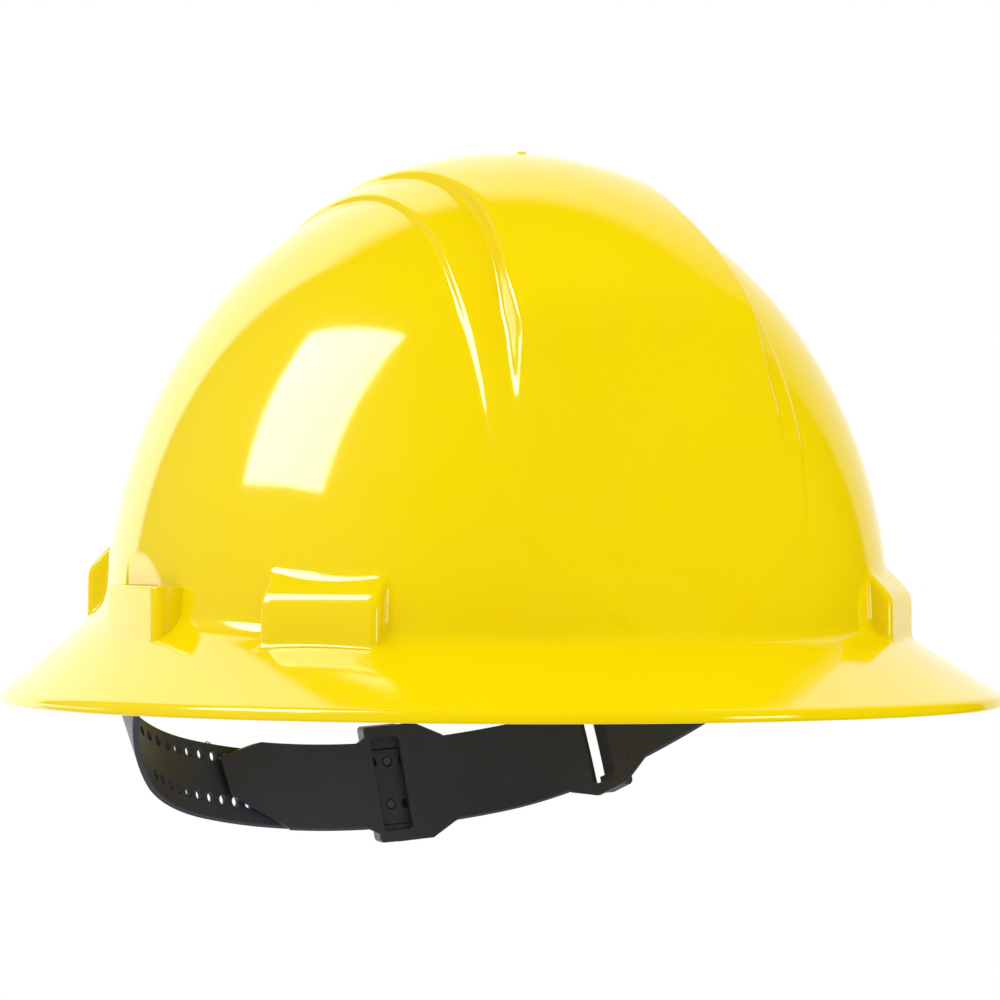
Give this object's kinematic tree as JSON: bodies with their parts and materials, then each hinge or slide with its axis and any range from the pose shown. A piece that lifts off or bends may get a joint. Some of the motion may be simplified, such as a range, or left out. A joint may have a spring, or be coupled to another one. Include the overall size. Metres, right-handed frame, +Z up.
{
  "type": "full brim hard hat",
  "caption": "Full brim hard hat: ridged glossy shell with accessory slots over a textile suspension with a pin lock nape strap.",
  "frame": {"origin": "centre of the head opening, in the plane of the brim's lower edge", "axes": "+Z up, -Y towards the front of the hat, +X towards the wearer's left"},
  "size_m": [0.272, 0.311, 0.1999],
  "materials": {
    "shell_plastic": "gloss",
    "band_plastic": "satin",
    "strap_plastic": "satin",
    "key_plastic": "satin",
    "stud_plastic": "satin",
    "webbing": "woven",
    "pad_cloth": "brushed",
    "pad_foam": "foam"
  },
  "bodies": {
    "shell": {"shell": "shell_plastic"},
    "cradle": {"suspension_key_front_right": "key_plastic", "suspension_key_rear_right": "key_plastic", "suspension_key_front_left": "key_plastic", "suspension_key_rear_left": "key_plastic", "stud_cap_front_right": "stud_plastic", "stud_cap_rear_right": "stud_plastic", "stud_cap_front_left": "stud_plastic", "stud_cap_rear_left": "stud_plastic", "crown_strap_upper": "webbing", "crown_strap_lower": "webbing"},
    "headband": {"headband": "band_plastic", "brow_pad_cover": "pad_cloth", "brow_pad_foam": "pad_foam", "nape_rivet_right": "stud_plastic", "nape_rivet_left": "stud_plastic", "nape_rivet_cap_right": "stud_plastic", "nape_rivet_cap_left": "stud_plastic"},
    "nape": {"nape_strap_holed": "strap_plastic", "nape_strap_pinned": "strap_plastic"}
  },
  "joints": [
    {"name": "suspension_release", "type": "slide", "parent": "shell", "child": "cradle", "axis": [0, 0, 1], "range_m": [-0.026, 0]},
    {"name": "headband_height", "type": "slide", "parent": "cradle", "child": "headband", "axis": [0, 0, 1], "range_m": [-0.006, 0.006]},
    {"name": "nape_swing", "type": "hinge", "parent": "headband", "child": "nape", "pos_m": [0, 0.035, 0.0092], "axis": [1, 0, 0], "range_deg": [-10, 10]}
  ]
}
